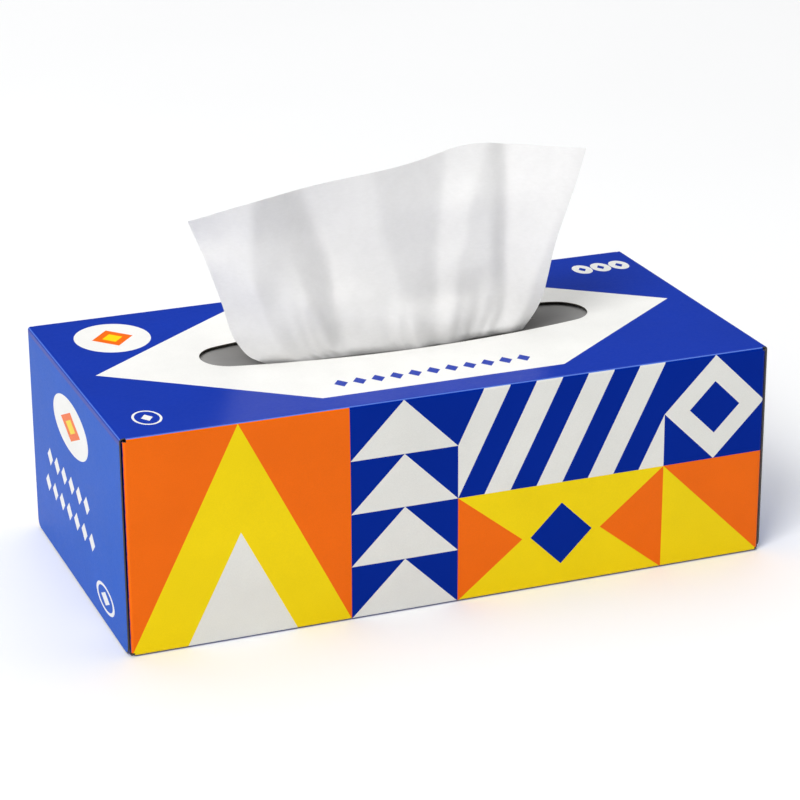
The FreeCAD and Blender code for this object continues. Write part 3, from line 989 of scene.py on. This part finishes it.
def slit_row(z, half_x, k):
    x = -half_x + 2 * half_x * U + OPEN_CX
    room = np.clip(SLIT_B * (1 - ((x - OPEN_CX) / SLIT_A) ** 2) - 0.5, 0, None) * k
    y = room * SWING * np.sin(2 * math.pi * PLEAT) * np.clip(12 * np.minimum(U, 1 - U), 0, 1)
    return np.c_[x, y + OPEN_CY, np.full(NU, z)]


mouth = slit_row(FILM_TOP - 0.25, 48.6, 0.85)
neck = slit_row(FILM_TOP - 2.4, 48.2, 0.9)
tuck = []
for t in np.linspace(0, 1, 9)[1:-1]:
    p = last * (1 - t) + mouth * t
    flat = FILM_TOP + CLEAR + top_sag(p[:, 0], p[:, 1])
    rise = 1.1 * math.sin(math.pi * t) ** 0.8 * (0.5 + 0.5 * np.sin(2 * math.pi * (PLEAT + 0.25))) * SWING
    go = float(smoothstep(0, 0.4, t))
    p[:, 2] = last[:, 2] * (1 - go) + flat * go + rise
    tuck.append(p)
below = [mouth, (mouth + neck) / 2, neck]
LAY = STACK_TOP + 0.95


def tail_row(t):
    """From the neck out over the back half of the stack."""
    half_x = 48.2 + (102.0 - 48.2) * smoothstep(0, 0.85, t)
    x = -half_x + 2 * half_x * U + OPEN_CX * (1 - smoothstep(0, 0.6, t))
    y = 46.0 * t + 1.5 * np.sin(2 * math.pi * (9 * U + 0.3)) * (1 - t) * t * 2
    z = LAY + (neck[:, 2] - LAY) * (1 - smoothstep(0, 0.5, t)) + 0.25 * np.abs(np.sin(2 * math.pi * 7.5 * U)) * (1 - t)
    keep = 1 - smoothstep(0, 0.25, t)
    y = y + neck[:, 1] * keep
    return np.c_[x, y, z]


tail = [tail_row(t) for t in np.linspace(0, 1, 22)[1:]]
end = tail[-1].copy()
fold_rows = []
for a in np.linspace(0, math.pi, 7)[1:]:
    p = end.copy()
    p[:, 1] = end[:, 1] + 0.33 * math.sin(a) * 1.6
    p[:, 2] = LAY - 0.33 * (1 - math.cos(a))
    fold_rows.append(p)
back = []
for t in np.linspace(0, 1, 14)[1:]:
    p = fold_rows[-1].copy()
    p[:, 1] = fold_rows[-1][:, 1] - 72.0 * t
    back.append(p)
sheet_rows = np.concatenate([rows, np.array(tuck), np.array(below), np.array(tail), np.array(fold_rows), np.array(back)])
nr = len(sheet_rows)
tv = sheet_rows.reshape(-1, 3)
idx = np.arange(nr * NU).reshape(nr, NU)
tf = np.stack([idx[:-1, :-1], idx[1:, :-1], idx[1:, 1:], idx[:-1, 1:]], -1).reshape(-1, 4)


def grid_normals(g):
    du = np.gradient(g, axis=1)
    dv = np.gradient(g, axis=0)
    n = np.cross(dv, du)
    return n / np.maximum(np.linalg.norm(n, axis=2, keepdims=True), 1e-9)


tn = grid_normals(sheet_rows).reshape(-1, 3)
# faces turn their fronts the way that the normals point
f0 = tf[len(tf) // 3]
flat_n = np.cross(tv[f0[1]] - tv[f0[0]], tv[f0[2]] - tv[f0[0]])
if flat_n @ tn[f0[0]] < 0:
    tn = -tn
sv, sf, sslots, ssharp = give_thickness(tv + tn * 0.08, tn, tf, 0.16, np.zeros(len(tf), int), 0, 0)
tissue = make_object("pulled_sheet", sv, sf, [M_TISSUE], sslots, sharp=ssharp)
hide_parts("pulled_tissue")
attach(tissue, "root")

# =====================================================================
# the interfolded sheets that are left
# =====================================================================
LAYERS = 44
zs = np.linspace(BOARD + 0.02, STACK_TOP, LAYERS * 4 + 1)
half_w = []
for k, z in enumerate(zs):
    phase = (k % 4) / 4.0
    layer = k // 4
    jitter = 0.55 * noise.noise(Vector((layer * 1.7, 0.3, 5.0)))
    half_w.append(STACK_Y - 0.75 + jitter + 0.30 * math.sin(math.pi * phase))
profile = []
for z, w in zip(zs, half_w):
    profile.append((w, z))
top = [(STACK_Y - 1.2 - 4.0 * k, STACK_TOP) for k in range(1, int((STACK_Y - 1.2) / 4.0) + 1)]
ys_top = [p[0] for p in top]
right_side = profile + top
left_side = [(-y, z) for y, z in right_side][::-1]
section = np.array(right_side + left_side)
NX = 53
xs = np.linspace(-1, 1, NX)
stack_rows = []
for k, t in enumerate(xs):
    x = t * STACK_X
    soft = 1 - 0.012 * max(0.0, (abs(t) - 0.965) / 0.035) ** 2
    row = []
    for y, z in section:
        dz = 0.0
        if z > STACK_TOP - 0.01:
            dz = -0.10 + 0.10 * noise.noise(Vector((x / 30, y / 22, 8.0)))
        wave = 0.22 * noise.noise(Vector((x / 24, z / 1.5, 3.0 + (1 if y > 0 else 0))))
        row.append((x, y * soft + (wave if abs(y) > STACK_Y - 4 else 0), z + dz))
    stack_rows.append(row)
stack_rows = np.array(stack_rows)
ns = stack_rows.shape[1]
sidx = np.arange(NX * ns).reshape(NX, ns)
nxt = np.roll(sidx, -1, axis=1)
quads = np.stack([sidx[:-1], nxt[:-1], nxt[1:], sidx[1:]], -1).reshape(-1, 4)
stv = stack_rows.reshape(-1, 3)
# end faces: the layers' cut edges, strip by strip between the two sides
ends_f = []
extra = []
left_of = {round(float(z), 4): i for i, (y, z) in enumerate(section) if y < 0 and i >= len(right_side) + len(top)}
for side, col in ((0, sidx[0]), (1, sidx[-1])):
    n_side = len(profile)
    for k in range(n_side - 1):
        a, b = col[k], col[k + 1]
        c, d = col[ns - 1 - k - 1], col[ns - 1 - k]
        quad = (a, b, c, d)
        ends_f.append(quad if side == 0 else quad[::-1])
    cap = [col[n_side - 1 + i] for i in range(ns - 2 * (n_side - 1))]
    ends_f.append(tuple(cap) if side == 0 else tuple(cap[::-1]))
all_f = [tuple(q) for q in quads] + ends_f
M_STACK = tissue_material()
M_STACK.name = "tissue_edges"
stack = make_object("stack_of_sheets", stv, all_f, [M_STACK], None, smooth=False)
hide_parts("tissue_stack")
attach(stack, "root")

# =====================================================================
# floor, light
# =====================================================================
floor_m = Nodes("floor_pale")
floor_m.link(floor_m.mix(floor_m.ramp(floor_m.noise(3.0, 2.0), 0.3, 0.7, 0.0, 1.0), (0.96, 0.96, 0.96, 1), (0.98, 0.98, 0.98, 1)), floor_m.bsdf.inputs["Base Color"])
floor_m.bsdf.inputs["Roughness"].default_value = 0.8
floor_m.bsdf.inputs["Specular IOR Level"].default_value = 0.1
fl = bpy.data.meshes.new("floor")
fl.from_pydata([(-8, -8, -0.0002), (8, -8, -0.0002), (8, 8, -0.0002), (-8, 8, -0.0002)], [], [(0, 1, 2, 3)])
fl.materials.append(floor_m.m)
floor = bpy.data.objects.new("floor", fl)
bpy.context.scene.collection.objects.link(floor)


def area(name, place, target, size, power, colour=(1, 1, 1)):
    d = bpy.data.lights.new(name, "AREA")
    d.shape = "RECTANGLE"
    d.size, d.size_y = size
    d.energy = power
    d.color = colour
    o = bpy.data.objects.new(name, d)
    o.location = place
    o.rotation_euler = (Vector(target) - Vector(place)).to_track_quat("-Z", "Y").to_euler()
    bpy.context.scene.collection.objects.link(o)
    return o


area("key", (-2.17, -1.82, 2.90), (0, 0, 0.08), (1.8, 1.8), 108.0)
area("overhead", (0.3, 1.5, 3.0), (0.3, 1.5, 0), (5.0, 5.0), 104.0)

world = bpy.data.worlds.new("world")
world.use_nodes = True
bg = world.node_tree.nodes["Background"]
bg.inputs[0].default_value = (0.92, 0.96, 1.0, 1)
bg.inputs[1].default_value = 0.12
bpy.context.scene.world = world
bpy.context.scene.view_settings.view_transform = "Standard"
bpy.context.scene.view_settings.look = "None"

bpy.context.view_layer.update()
